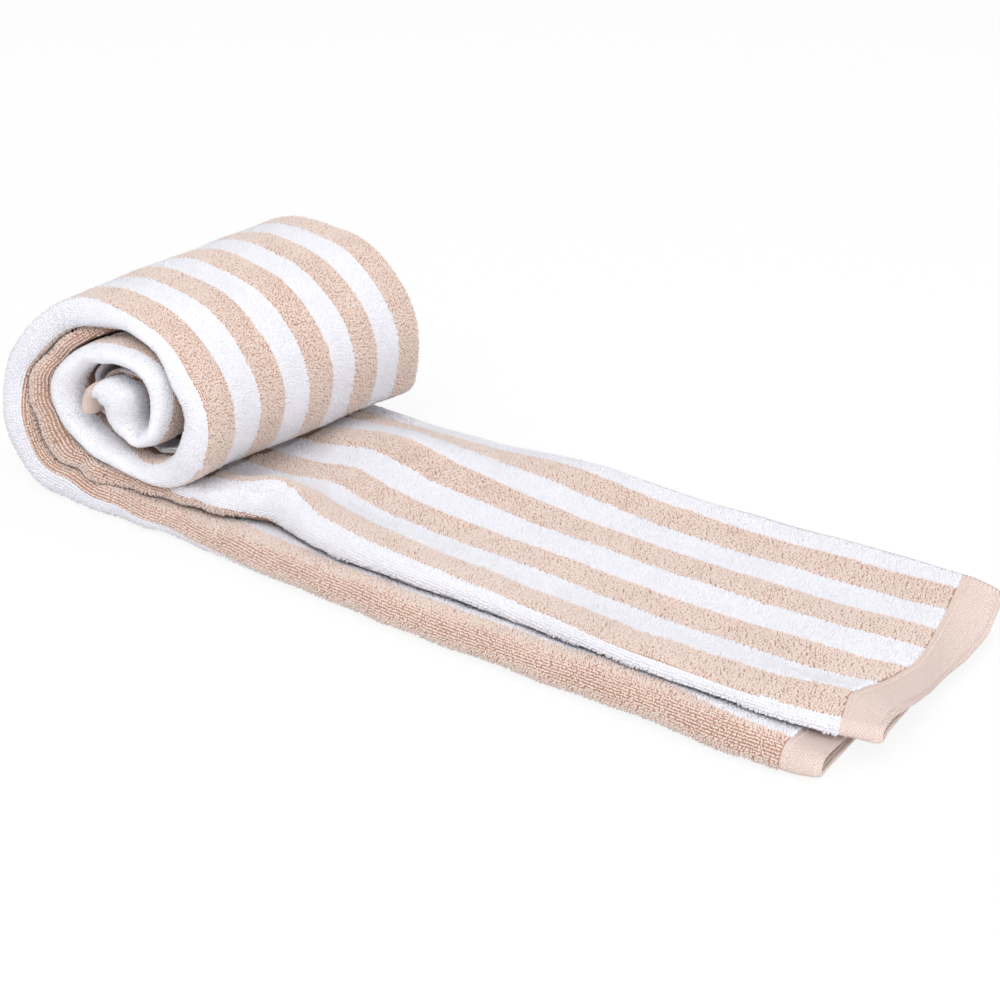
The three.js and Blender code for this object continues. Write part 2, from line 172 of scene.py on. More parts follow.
def folded_line(row):
    """Across, up, share of the way to the top layer, and stripes from the first edge."""
    heights = CLOTH / 2 + LAYER_RISE * np.arange(4)
    folds_high = [row["lower_fold"], row["back_fold"], row["upper_fold"]]
    centre = [row["lower"] + folds_high[0] / 2, row["back"] - folds_high[1] / 2,
              row["upper"] + folds_high[2] / 2]
    arc = [math.pi * (high - CLOTH) / 2 / STRIPE for high in folds_high]
    apex = [row["lower_stripe"], BACK_STRIPE, row["upper_stripe"]]
    lower_top = folds_high[0] - CLOTH / 2
    base_back = CLOTH * 1.5 + AIR
    top_back = base_back + folds_high[1] - CLOTH
    # The upper fold rests on the second layer, which has already sunk a little if it lies far back.
    sunk = (lower_top - heights[1]) * ease(centre[2] - centre[0], FOLD_EASE)
    base_upper = lower_top - sunk + CLOTH + AIR
    top_upper = base_upper + folds_high[2] - CLOTH
    layers = [
        (row["under_edge"], centre[0], CLOTH / 2, CLOTH / 2, 0, apex[0] - arc[0] / 2),
        (centre[0], centre[1], lower_top, base_back, apex[0] + arc[0] / 2, apex[1] - arc[1] / 2),
        (centre[1], centre[2], top_back, base_upper, apex[1] + arc[1] / 2, apex[2] - arc[2] / 2),
        (centre[2], row["top_edge"], top_upper, top_back + CLOTH + EDGE_AIR,
         apex[2] + arc[2] / 2, STRIPES_ACROSS)]
    folds = [(centre[0], CLOTH / 2, lower_top, -1), (centre[1], base_back, top_back, 1),
             (centre[2], base_upper, top_upper, -1)]
    parts = []
    for i, (start, end, up_start, up_end, stripe_start, stripe_end) in enumerate(layers):
        share = (1 - np.cos(np.pi * np.linspace(0, 1, LAYER_STEPS + 1))) / 2
        share = 0.45 * share + 0.55 * np.linspace(0, 1, LAYER_STEPS + 1)
        across = start + (end - start) * share
        near_start = 1 - ease(abs(across - start), FOLD_EASE)
        near_end = 1 - ease(abs(across - end), FOLD_EASE)
        up = heights[i] + (up_start - heights[i]) * near_start + (up_end - heights[i]) * near_end
        upper = share if i == 2 else np.full_like(share, i == 3)
        parts.append([across, up, upper, stripe_start + (stripe_end - stripe_start) * share])
        if i < 3:
            middle, low, high, side = folds[i]
            angle = np.pi * np.arange(1, FOLD_STEPS) / FOLD_STEPS
            radius = (high - low) / 2
            parts.append([middle + side * radius * np.sin(angle), low + radius * (1 - np.cos(angle)),
                          np.full_like(angle, i == 2), apex[i] + arc[i] * (angle / np.pi - 0.5)])
    return np.concatenate([np.array(p) for p in parts], axis=1)

# %% [markdown]
# ## The way through the roll
#
# Each cross-section stands between two points: the outer one, on the side that touched the
# ground first, and the inner one. In the tail they are the ground and the top of the stack. In
# the roll the outer point runs round the winding, and the inner point is the same winding one
# turn further on, so each turn always fills the room that the next one leaves. In the core a
# short table leads the inner hem end round on itself.

# %% The outer and inner points, ring by ring
def curve_through(values, place):
    """A smooth curve through evenly spaced values, read at places between them."""
    i = np.clip(np.floor(place).astype(int), 0, len(values) - 2)
    s = place - i
    a, b = values[i], values[i + 1]
    slope_a = (b - values[np.maximum(i - 1, 0)]) / 2
    slope_b = (values[np.minimum(i + 2, len(values) - 1)] - a) / 2
    return ((2 * s**3 - 3 * s**2 + 1) * a + (s**3 - 2 * s**2 + s) * slope_a
            + (3 * s**2 - 2 * s**3) * b + (s**3 - s**2) * slope_b)

def winding_point(turn):
    inward = np.minimum(turn, 1)[:, None]
    reach = curve_through(REACH, turn * 8)
    angle = 2 * np.pi * turn
    point = OUTER_AXIS * (1 - inward) + INNER_AXIS * inward
    point = point - np.stack([reach * np.sin(angle), reach * np.cos(angle)], 1)
    lowest = np.where(turn < 0.5, 0, np.where(turn < RESTS_UNTIL, STACK + REST_GAP, -1e3))
    point[:, 1] = np.maximum(point[:, 1], lowest)
    return point

def softened(values, width):
    """A column with its corners rounded over about that many rings."""
    reach = int(3 * width)
    kernel = np.exp(-0.5 * (np.arange(-reach, reach + 1) / width) ** 2)
    padded = np.pad(values, reach, mode="reflect", reflect_type="odd")
    return np.convolve(padded, kernel / kernel.sum(), mode="valid")

tail_along = np.concatenate([505 - np.array([0, 0.5, 1.4, 2.8]), np.linspace(501, -33, 126)])
turns = np.concatenate([np.linspace(0.004, 1, 104), np.linspace(1, TURNS_WOUND, 45)[1:]])
core_places = np.linspace(0, 10, 34)
core_turns = TURNS_WOUND + 0.085 * (1 + core_places)

tail_rows = {name: np.interp(-tail_along, -TAIL["along"], TAIL[name]) for name in TAIL}
roll_turns = np.concatenate([turns, core_turns])
roll_rows = {name: np.interp(roll_turns, ROLLED["turn"], ROLLED[name]) for name in ROLLED}
rows = {name: softened(np.concatenate([tail_rows[name], roll_rows[name]]), 4)
        for name in ROLLED if name != "turn"}
rows["under_end"] = np.concatenate([tail_rows["under_end"], np.zeros(len(roll_turns))])
rows["along"] = np.concatenate([tail_along, np.full(len(roll_turns), -37.0)])

def core_path(along, up):
    return np.stack([curve_through(CORE[along], core_places), curve_through(CORE[up], core_places)], 1)

def tail_path(height):
    return np.stack([tail_along, np.full_like(tail_along, height)], 1)

outer = np.concatenate([tail_path(0), winding_point(turns), core_path("out_along", "out_up")])
inner = np.concatenate([tail_path(STACK), winding_point(turns + 1), core_path("in_along", "in_up")])
join = len(tail_along) - 6
for end in (outer, inner):
    for axis in (0, 1):
        end[join:, axis] = softened(end[:, axis], 2)[join:]
rolled = np.arange(len(outer)) >= len(tail_along)
print("rings:", len(outer), "of which in the tail:", len(tail_along))

# %% [markdown]
# ## Gentle waves
#
# Thick cloth is never quite smooth or straight. A sum of a few sine waves, each with its own
# length and direction, gives that without any visible repeat. The crease in the roll, the faces
# of the cloth and the lean of the loops all use it.

# %% A smooth field of waves
def waves(x, y, longest, shortest, count, seed):
    """Between about -1 and 1, smooth over the cloth, from lengths and directions drawn at random."""
    own = np.random.default_rng(seed)
    total = 0 * x
    for _ in range(count):
        length = own.uniform(shortest, longest)
        heading, phase = own.uniform(0, 2 * np.pi, 2)
        total = total + np.sin(2 * np.pi * (x * np.cos(heading) + y * np.sin(heading)) / length + phase)
    return total / math.sqrt(count * 0.5) / 1.6

# %% [markdown]
# ## The cloth's middle surface
#
# Now every ring gets its folded line, laid between its outer and inner point. The result is a
# grid: one direction runs along the cloth from hem to hem, the other across it from edge to
# edge. A grid like this could also be made by sweeping a curve, but a grid of points keeps the
# flat measure of the cloth with it, so that the stripes and the loops can follow. In the roll's
# face the crease between the two front folds wanders, as the folds press on each other.

# %% Build the grid of the middle surface
HEM_REACH_FROM = 340  # along the tail, where the top layers start to lead the lower ones
CREASE_WANDER, CREASE_DEPTH = 0.085, 32.0    # of the stack's height; how far in from the roll's face
TURN_LENGTH = 350.0   # of cloth in one turn, about

def hump_lift(along, across):
    lift = 0 * across
    for h in zip(*HUMPS.values()):
        lift = lift + h[4] * np.exp(-((along - h[0]) / h[2]) ** 2 - ((across - h[1]) / h[3]) ** 2)
    return lift

def ring_points(k):
    row = {name: rows[name][k] for name in rows}
    across, up, upper, stripe = folded_line(row)
    if not rolled[k]:
        start, end, droop = (np.interp(across, TOP_HEM["across"], TOP_HEM[column])
                             for column in ("start", "end", "droop"))
        loops_stop = TAIL["along"][1]
        in_hem = np.clip((row["along"] - loops_stop) / HEM_WIDTH, 0, 1)
        nearing = ease(row["along"] - HEM_REACH_FROM, loops_stop - HEM_REACH_FROM)
        top_reach = (start + (end - start) * in_hem) * nearing
        reach = row["under_end"] * (1 - upper) + top_reach * upper
        lift = hump_lift(row["along"], across) * (up / STACK) ** 2
        lift = lift - droop * in_hem ** 1.5 * np.minimum(4 * upper, 1)
        return np.stack([row["along"] + reach, across, up + lift], 1), stripe, 1.0
    way = inner[k] - outer[k]
    room = math.hypot(*way)
    used = (room - TURN_GAP) / room
    share = up / STACK * used
    turn = roll_turns[k - len(tail_along)]
    wander = CREASE_WANDER * ease(turn, 0.1) * waves(turn * TURN_LENGTH, 0, 60, 22, 6, 31)
    share = share + wander * np.sin(np.pi * np.clip(share, 0, 1)) * np.exp(-(across / CREASE_DEPTH) ** 2)
    back = across / FLARE_DEPTH
    sagged = SAG_REACH * math.exp(-((turn - SAG_TURN) / SAG_TURNS) ** 2) * back
    along = outer[k, 0] + way[0] * share + sagged * (1 + (SAG_INSIDE - 1) * share) - OUTER_AXIS[0]
    height = outer[k, 1] + way[1] * share
    flared = ease(turn, FLARE_START) * back
    points = np.stack([OUTER_AXIS[0] + along * (1 + FLARE_ALONG * flared), across,
                       height * (1 + FLARE_UP * flared)], 1)
    return points, stripe, used * room / STACK

made = [ring_points(k) for k in range(len(outer))]
middle = np.array([m[0] for m in made])
stripes_at = np.array([m[1] for m in made])
squeeze = np.array([m[2] for m in made])
steps = np.linalg.norm(np.diff(middle, axis=0), axis=2).mean(axis=1)
along_cloth = np.concatenate([[0], np.cumsum(steps)])
LENGTH = float(along_cloth[-1])
print(f"grid {middle.shape[0]} x {middle.shape[1]}, cloth {WIDTH:.0f} x {LENGTH:.0f} mm")

# %% [markdown]
# ## Small unevenness
#
# Between the folds the cloth waves by a millimetre or so. The two front folds pucker as well,
# the upper one most where the roll begins.

# %% Waves on the surface
rng = np.random.default_rng(11)
SWELL, UPPER_PUCKER, LOWER_PUCKER = 0.6, 2.6, 1.5    # how far they reach, in millimetres
ROLL_FROM = 380     # along the flat cloth, where the roll's share of the puckers sets in

def normals_of(grid):
    along = np.gradient(grid, axis=0)
    across = np.gradient(grid, axis=1)
    n = np.cross(along, across)
    return n / np.maximum(np.linalg.norm(n, axis=2, keepdims=True), 1e-9)

cloth_x = np.repeat(along_cloth[:, None], middle.shape[1], 1)
cloth_y = stripes_at * STRIPE

def pucker(fold_stripe, over, longest, shortest, seed):
    """In and out along one fold, fading away from it."""
    near = np.exp(-((stripes_at - fold_stripe) / over) ** 2)
    return near * waves(cloth_x, 0 * cloth_y, longest, shortest, 7, seed)

middle = middle + normals_of(middle) * (SWELL * waves(cloth_x, cloth_y, 110, 35, 9, 3))[..., None]
in_roll = ease(cloth_x - ROLL_FROM, 120)
middle[..., 1] += (UPPER_PUCKER * (0.25 + 0.75 * in_roll) * pucker(28.8, 1.0, 46, 15, 21)
                   + LOWER_PUCKER * (0.5 + 0.5 * in_roll) * pucker(10.0, 1.0, 60, 20, 22))

# %% [markdown]
# ## Where the dyed yarns lie
#
# The stripes are woven in, so they follow the cloth. Where it was pulled in folding, an edge of
# a stripe drifts off its straight line by a few millimetres, as a short table says. The outer
# few millimetres stay inside the last stripe, so that each long edge has one colour.

# %% The place across the cloth, as dyed
EDGE_KEPT = 4.0

def dyed_across(flat_x, flat_y):
    number = flat_y / STRIPE
    shift = 0 * flat_y
    for edge, by, over, from_x, to_x in zip(*DRIFT.values()):
        share = np.clip((flat_x - from_x) / (to_x - from_x), 0, 1)
        shift = shift - by * share * np.exp(-((number - edge - by) / over) ** 2)
    return np.clip(flat_y + STRIPE * shift, EDGE_KEPT, WIDTH - EDGE_KEPT)

# %% [markdown]
# ## The ground cloth
#
# The ground is one closed sheet: the grid pushed out to both sides by half its thickness, and
# closed round its four edges. The thickness follows the cloth: thin under the loops, thicker in
# the turned hem, squeezed where the roll is tight, and rounded off at the very ends, where a
# hem is folded over. A Solidify modifier would give the same with one thickness everywhere.

# %% Thickness and the two faces
from_end = np.minimum(along_cloth, LENGTH - along_cloth)
thickness = np.interp(from_end, (0, 0.5, 1.4, 2.8, HEM_WIDTH - 1.2, HEM_WIDTH + 1.2),
                      (0.8, 2.0, 2.7, HEM, HEM, GROUND))
thickness = thickness * np.minimum(1, squeeze * 1.35)
edge_taper = np.interp(np.minimum(cloth_y, WIDTH - cloth_y), (0, 3), (0.55, 1))
normal = normals_of(middle)
half = (thickness[:, None] * edge_taper / 2)[..., None] * normal
faces_of_cloth = {1: middle - half, -1: middle + half}   # 1 is the outside of the front folds
outward = {1: -normal, -1: normal}

def to_metres(points):
    return (np.asarray(points).reshape(-1, 3) - MIDDLE) * MM

def make_mesh(name, points, corners, corner_count, smooth=True):
    """A mesh object from arrays of points and of faces that all have the same corner count."""
    mesh = bpy.data.meshes.new(name)
    total = len(corners) // corner_count
    mesh.vertices.add(len(points))
    mesh.vertices.foreach_set("co", np.asarray(points, np.float32).ravel())
    mesh.loops.add(len(corners))
    mesh.loops.foreach_set("vertex_index", np.asarray(corners, np.int32))
    mesh.polygons.add(total)
    mesh.polygons.foreach_set("loop_start", np.arange(0, len(corners), corner_count, dtype=np.int32))
    mesh.polygons.foreach_set("loop_total", np.full(total, corner_count, np.int32))
    mesh.update(calc_edges=True)
    mesh.validate()
    if smooth:
        mesh.polygons.foreach_set("use_smooth", np.ones(len(mesh.polygons), bool))
    piece = bpy.data.objects.new(name, mesh)
    bpy.context.scene.collection.objects.link(piece)
    return piece

def put_on_cloth(piece, flat, extra, lift):
    """Keeps each point's place on the flat cloth, as an attribute for materials and as a map, and
    its lift, from 0 at the foot of the pile to 1 at its crown."""
    mesh = piece.data
    kept = mesh.attributes.new("on_cloth", "FLOAT_VECTOR", "POINT")
    kept.data.foreach_set("vector", np.asarray(extra, np.float32).ravel())
    # The lift sets painted shade in the colour: darker and warmer towards the foot of the pile.
    raised = mesh.attributes.new("lift", "FLOAT", "POINT")
    raised.data.foreach_set("value", np.asarray(lift, np.float32))
    corner = np.zeros(len(mesh.loops), np.int32)
    mesh.loops.foreach_get("vertex_index", corner)
    uv = np.asarray(flat, float)[corner] / (LENGTH, WIDTH)
    layer = mesh.uv_layers.new(name="OFBake")
    layer.uv.foreach_set("vector", np.clip(uv, 0.001, 0.999).astype(np.float32).ravel())

# %% Build the ground
rings, across_count = middle.shape[:2]
index = np.arange(rings * across_count).reshape(rings, across_count)
a, b, c, d = index[:-1, :-1], index[1:, :-1], index[1:, 1:], index[:-1, 1:]
far = rings * across_count
front_quads = np.stack([a, d, c, b], -1).reshape(-1, 4)
back_quads = np.stack([a, b, c, d], -1).reshape(-1, 4) + far
rim = np.concatenate([index[0, :], index[1:, -1], index[-1, -2::-1], index[-2:0:-1, 0]])
rim_next = np.roll(rim, -1)
rim_quads = np.stack([rim, rim + far, rim_next + far, rim_next], -1)
quads = np.concatenate([front_quads, back_quads, rim_quads])
points = np.concatenate([to_metres(faces_of_cloth[1]), to_metres(faces_of_cloth[-1])])
ground = make_mesh("terry_cloth", points, quads.ravel(), 4)
flat = np.stack([cloth_x, cloth_y], -1).reshape(-1, 2)
flat = np.concatenate([flat, flat])
dyed_at = np.column_stack([flat[:, 0], dyed_across(flat[:, 0], flat[:, 1]), np.full(len(flat), 0.5)])
# The ground's lift is 0 throughout, so it takes the painted shade of the loops' feet.
put_on_cloth(ground, flat, dyed_at, np.zeros(len(flat)))
print("ground:", len(quads) * 2, "triangles")

# %% [markdown]
# ## Where the pile can be seen
#
# Loops are needed only where an eye can reach them: on the outside, on the round folds and a
# little way into the hollows. To find those places, rays leave each point of the ground in a
# few directions. If one gets far enough without meeting cloth, the point is open.

# %% Find the open places
def open_places(side):
    tree = BVHTree.FromPolygons(
        [Vector(p) for p in points], [tuple(q) for q in quads.tolist()], all_triangles=False)
    origin = to_metres(faces_of_cloth[side])
    n = outward[side].reshape(-1, 3)
    along = np.gradient(middle, axis=0).reshape(-1, 3)
    along /= np.maximum(np.linalg.norm(along, axis=1, keepdims=True), 1e-9)
    found = np.zeros(len(origin), bool)
    forwards = np.tile([0.0, -1.7, 0.0], (len(n), 1))
    for way in (n, n + forwards, n - forwards, n + 1.2 * along, n - 1.2 * along):
        way = way / np.linalg.norm(way, axis=1, keepdims=True)
        todo = np.flatnonzero(~found)
        start = origin[todo] + n[todo] * 0.0006
        for i, begin, ray in zip(todo, start.tolist(), way[todo].tolist()):
            if tree.ray_cast(Vector(begin), Vector(ray), 0.09)[0] is None:
                found[i] = True
    found = found.reshape(rings, across_count)
    under = (faces_of_cloth[side][..., 2] < 3.0) & (outward[side][..., 2] < -0.75)
    return found & ~under

open_on = {side: open_places(side) for side in (1, -1)}
print("open share of each side:", [round(float(open_on[s].mean()), 3) for s in (1, -1)])

# %% [markdown]
# ## The loops
#
# Each loop is a small ridge of six faces: four feet in the ground and a short crown that runs
# between them. It is shaded smooth, so from any usual distance it reads as a bent loop of yarn.
# In terry the loops stand in lines along the cloth, one line for each pile thread, so the loops
# are placed by walking along each of those lines with an even step. Every loop gets its own
# size, turn and lean, because cotton loops flop about, and it carries the place on the flat
# cloth where it is rooted: it takes one colour from there, and this is what makes the edges of
# the stripes ragged, as they are on real terry.
#
# Hair particles would be another way, but they have no mesh to export. Arrays of small joined
# pieces do.

# %% Place the loops along their threads
LINE_PITCH, LOOP_STEP = 1.5, 1.65
LOOP_LONG, LOOP_WIDE, LOOP_HIGH = 1.95, 1.3, 1.4
# Along and across the loop and up from its foot: the four feet, then the two ends of the crown.
LOOP_POINTS = ((-1, -1, -0.3), (1, -1, -0.3), (1, 1, -0.3), (-1, 1, -0.3), (-0.55, 0, 1), (0.55, 0, 1))
LOOP_FACES = np.array([(0, 1, 5), (0, 5, 4), (1, 2, 5), (2, 3, 4), (2, 4, 5), (3, 0, 4)])

def at_grid(values, ring, column):
    """Values of the grid read between its rings and columns."""
    r = np.clip(ring.astype(int), 0, rings - 2)
    q = np.clip(column.astype(int), 0, across_count - 2)
    s, t = (ring - r), (column - q)
    if values.ndim == 3:
        s, t = s[:, None], t[:, None]
    return ((values[r, q] * (1 - s) + values[r + 1, q] * s) * (1 - t)
            + (values[r, q + 1] * (1 - s) + values[r + 1, q + 1] * s) * t)

def loop_roots(side):
    """Ring and column of each loop's root on one side, walking along every pile thread."""
    surface = faces_of_cloth[side] + outward[side] * LOOP_HIGH * 0.5
    found = []
    for line in np.arange(LINE_PITCH / 2, WIDTH - 3, LINE_PITCH):
        columns = [np.interp(line, cloth_y[k], np.arange(across_count)) for k in range(0, rings, 12)]
        columns = np.interp(np.arange(rings), np.arange(0, rings, 12), columns)
        path = at_grid(surface, np.arange(rings, dtype=float), columns)
        travel = np.concatenate([[0], np.cumsum(np.linalg.norm(np.diff(path, axis=0), axis=1))])
        spots = np.arange(rng.uniform(0, LOOP_STEP), travel[-1], LOOP_STEP)
        spots = spots + rng.normal(0, 0.3, len(spots))
        ring = np.interp(spots, travel, np.arange(rings))
        column = np.interp(ring, np.arange(rings), columns) + rng.normal(0, 0.03, len(ring))
        found.append(np.stack([ring, np.clip(column, 0, across_count - 1.001)], 1))
    found = np.concatenate(found)
    near = np.rint(found).astype(int)
    is_open = open_on[side][np.clip(near[:, 0], 0, rings - 1), np.clip(near[:, 1], 0, across_count - 1)]
    place = np.interp(found[:, 0], np.arange(rings), from_end)
    return found[is_open & (place > HEM_WIDTH + 0.8)]

def unit(v):
    return v / np.maximum(np.linalg.norm(v, axis=1, keepdims=True), 1e-9)

def loops_at(side, roots):
    """Points of every loop, with the flat place of each point and of its root."""
    ring, column = roots[:, 0], roots[:, 1]
    count = len(roots)
    base = at_grid(faces_of_cloth[side], ring, column)
    n = unit(at_grid(outward[side], ring, column))
    ahead = unit(at_grid(np.gradient(middle, axis=0), ring, column))
    beside = np.cross(n, ahead)
    flat_x = np.interp(ring, np.arange(rings), along_cloth)
    flat_y = at_grid(cloth_y, ring, column)
    tight = np.interp(ring, np.arange(rings), np.clip(squeeze * 1.25, 0.55, 1))
    yaw = 0.4 * waves(flat_x, flat_y, 40, 9, 10, 5) + rng.normal(0, 0.5, count)
    t = unit(ahead * np.cos(yaw)[:, None] + beside * np.sin(yaw)[:, None])
    b = np.cross(n, t)
    long = LOOP_LONG * rng.uniform(0.85, 1.15, count) / 2
    wide = LOOP_WIDE * rng.uniform(0.85, 1.15, count) / 2
    high = LOOP_HIGH * rng.uniform(0.8, 1.15, count) * tight
    lean_t = 0.25 * waves(flat_x, flat_y, 60, 14, 8, 6) + rng.normal(0, 0.3, count)
    lean_b = 0.2 * waves(flat_x, flat_y, 60, 14, 8, 7) + rng.normal(0, 0.25, count)
    shape = np.stack([base + t * (long * x + lean_t * max(z, 0))[:, None]
                      + b * (wide * y + lean_b * max(z, 0))[:, None] + n * (high * z)[:, None]
                      for x, y, z in LOOP_POINTS], 1)
    x, y, z = np.array(LOOP_POINTS).T
    corner_flat = np.stack([flat_x[:, None] + np.outer(long, x), flat_y[:, None] + np.outer(wide, y)], -1)
    root = np.stack([flat_x, dyed_across(flat_x, flat_y), rng.uniform(0, 1, count)], 1)
    lift = np.tile(np.maximum(z, 0), count)
    return shape.reshape(-1, 3), corner_flat.reshape(-1, 2), np.repeat(root, len(z), axis=0), lift

MOST_LOOPS = 32000    # in one piece, which keeps it under 200,000 triangles

roots = {side: loop_roots(side) for side in (1, -1)}
print("loops on each side:", [len(roots[s]) for s in (1, -1)])

# %% [markdown]
# ## The finish of the towel
#
# Two effects are shared by the ground, the loops and the stitches, so each is a node group with
# named inputs and outputs. The first gives the dyed stripes from the place on the flat cloth,
# with painted shade towards the foot of the pile. The second gives the fine grain of cotton.
# The shader itself stays in each material.

# %% Helpers for nodes
def colour(r, g, b):
    """A colour as shown on a screen, 0 to 255, as the linear values that a shader takes."""
    def linear(c):
        c = c / 255
        return c / 12.92 if c <= 0.04045 else ((c + 0.055) / 1.055) ** 2.4
    return (linear(r), linear(g), linear(b), 1.0)

# The crowns of the loops and, darker and warmer, the painted shade at their feet, down in the pile.
WHITE, WHITE_FEET_PAINTED_SHADE = colour(245, 244, 249), colour(232, 230, 237)
BEIGE, BEIGE_FEET_PAINTED_SHADE = colour(248, 233, 224), colour(189, 149, 129)
HEM_BEIGE = colour(232, 210, 200)

def node(tree, kind, label="", **settings):
    made = tree.nodes.new(kind)
    made.label = label
    for key, value in settings.items():
        setattr(made, key, value)
    return made

def maths(tree, operation, first, second=None, label=""):
    made = node(tree, "ShaderNodeMath", label, operation=operation)
    for socket, value in zip(made.inputs, (first, second)):
        if value is None:
            continue
        if isinstance(value, (int, float)):
            socket.default_value = value
        else:
            tree.links.new(value, socket)
    return made.outputs[0]

def mixed(tree, share, first, second, label="", blend="MIX"):
    made = node(tree, "ShaderNodeMix", label, data_type="RGBA", blend_type=blend)
    for socket, value in ((made.inputs["Factor"], share), (made.inputs[6], first), (made.inputs[7], second)):
        if isinstance(value, (int, float, tuple)):
            socket.default_value = value
        else:
            tree.links.new(value, socket)
    return made.outputs[2]

def group(name, inputs, outputs):
    tree = bpy.data.node_groups.new(name, "ShaderNodeTree")
    for kind, label, start in inputs:
        socket = tree.interface.new_socket(name=label, in_out="INPUT", socket_type=kind)
        if start is not None:
            socket.default_value = start
    for kind, label in outputs:
        tree.interface.new_socket(name=label, in_out="OUTPUT", socket_type=kind)
    return tree, tree.nodes.new("NodeGroupInput"), tree.nodes.new("NodeGroupOutput")

# %% [markdown]
# ### Stripes
#
# The stripes run the whole length of the cloth. Dividing the distance across it by the width of
# a stripe and looking at odd and even gives the two yarns. A slow noise makes each edge wander
# a little, and each batch of yarn takes the dye a touch differently. Towards the foot of each
# loop both yarns turn darker and warmer: painted shade, as falls down in the pile.

# %% The group of the dyed stripes
stripes, given, result = group("Dyed stripes and painted shade", [
    ("NodeSocketVector", "Place on cloth", None),
    ("NodeSocketFloat", "Stripe width", STRIPE),
    ("NodeSocketFloat", "Wander", 2.0),
    ("NodeSocketFloat", "Lift", 1.0),
    ("NodeSocketColor", "First yarn", BEIGE),
    ("NodeSocketColor", "First yarn in painted shade", BEIGE_FEET_PAINTED_SHADE),
    ("NodeSocketColor", "Second yarn", WHITE),
    ("NodeSocketColor", "Second yarn in painted shade", WHITE_FEET_PAINTED_SHADE),
    ("NodeSocketColor", "Hem yarn", HEM_BEIGE)],
    [("NodeSocketColor", "Colour"), ("NodeSocketFloat", "Hem"), ("NodeSocketFloat", "White")])
links = stripes.links
split = node(stripes, "ShaderNodeSeparateXYZ", "along, across, own number")
links.new(given.outputs["Place on cloth"], split.inputs[0])
flat_place = node(stripes, "ShaderNodeCombineXYZ", "flat place")
links.new(split.outputs[0], flat_place.inputs[0])
links.new(split.outputs[1], flat_place.inputs[1])
drift = node(stripes, "ShaderNodeTexNoise", "wander of the edges")
links.new(flat_place.outputs[0], drift.inputs["Vector"])
drift.inputs["Scale"].default_value = 0.03
drift.inputs["Detail"].default_value = 2.0
shift = maths(stripes, "SUBTRACT", drift.outputs["Fac"], 0.5)
shift = maths(stripes, "MULTIPLY", shift, given.outputs["Wander"])
shift = maths(stripes, "MULTIPLY", shift, 2.0)
across_now = maths(stripes, "ADD", split.outputs[1], shift)
number = maths(stripes, "DIVIDE", across_now, given.outputs["Stripe width"], "stripes from the edge")
to_and_fro = maths(stripes, "PINGPONG", maths(stripes, "SUBTRACT", number, 0.5), 1.0)
odd = maths(stripes, "GREATER_THAN", to_and_fro, 0.5, "odd stripe")
crowns = mixed(stripes, odd, given.outputs["First yarn"], given.outputs["Second yarn"], "the two yarns")
# Painted shade: the yarns darken and warm towards each loop's foot, by the lift.
feet = mixed(stripes, odd, given.outputs["First yarn in painted shade"], given.outputs["Second yarn in painted shade"],
             "painted shade down in the pile")
dyed_and_painted_shade_colour = mixed(stripes, given.outputs["Lift"], feet, crowns, "painted shade from foot to crown")
near_end = maths(stripes, "MINIMUM", split.outputs[0], maths(stripes, "SUBTRACT", LENGTH, split.outputs[0]))
is_hem = maths(stripes, "LESS_THAN", near_end, HEM_WIDTH, "inside the hem")
links.new(mixed(stripes, is_hem, dyed_and_painted_shade_colour, given.outputs["Hem yarn"], "hem"), result.inputs["Colour"])
links.new(is_hem, result.inputs["Hem"])
links.new(odd, result.inputs["White"])

# %% [markdown]
# ### Cotton grain
#
# Cotton is matt and a little uneven: some yarn is thicker, some fuzzier. The group darkens and
# lightens the colour by a few parts in a hundred, at the size of a yarn and at the size of a
# hand, and gives a fine height for bump.

# %% The group of the cotton grain
grain, given, result = group("Cotton grain", [
    ("NodeSocketVector", "Place on cloth", None),
    ("NodeSocketColor", "Colour", WHITE),
    ("NodeSocketFloat", "Fine amount", 0.06),
    ("NodeSocketFloat", "Broad amount", 0.04)],
    [("NodeSocketColor", "Colour"), ("NodeSocketFloat", "Height")])
links = grain.links
fine = node(grain, "ShaderNodeTexNoise", "yarn")
fine.inputs["Scale"].default_value = 1.1
fine.inputs["Detail"].default_value = 3.0
broad = node(grain, "ShaderNodeTexNoise", "broad")
broad.inputs["Scale"].default_value = 0.02
broad.inputs["Detail"].default_value = 3.0
for noise in (fine, broad):
    links.new(given.outputs["Place on cloth"], noise.inputs["Vector"])
fine_shift = maths(grain, "SUBTRACT", fine.outputs["Fac"], 0.5)
fine_shift = maths(grain, "MULTIPLY", fine_shift, given.outputs["Fine amount"])
broad_shift = maths(grain, "SUBTRACT", broad.outputs["Fac"], 0.5)
broad_shift = maths(grain, "MULTIPLY", broad_shift, given.outputs["Broad amount"])
level = maths(grain, "ADD", maths(grain, "MULTIPLY", maths(grain, "ADD", fine_shift, broad_shift), 2.0), 1.0)
level_colour = node(grain, "ShaderNodeCombineColor", "as a grey")
for socket in level_colour.inputs[:3]:
    links.new(level, socket)
grained_colour = mixed(grain, 1.0, given.outputs["Colour"], level_colour.outputs[0], "grain", "MULTIPLY")
links.new(grained_colour, result.inputs["Colour"])
links.new(fine.outputs["Fac"], result.inputs["Height"])

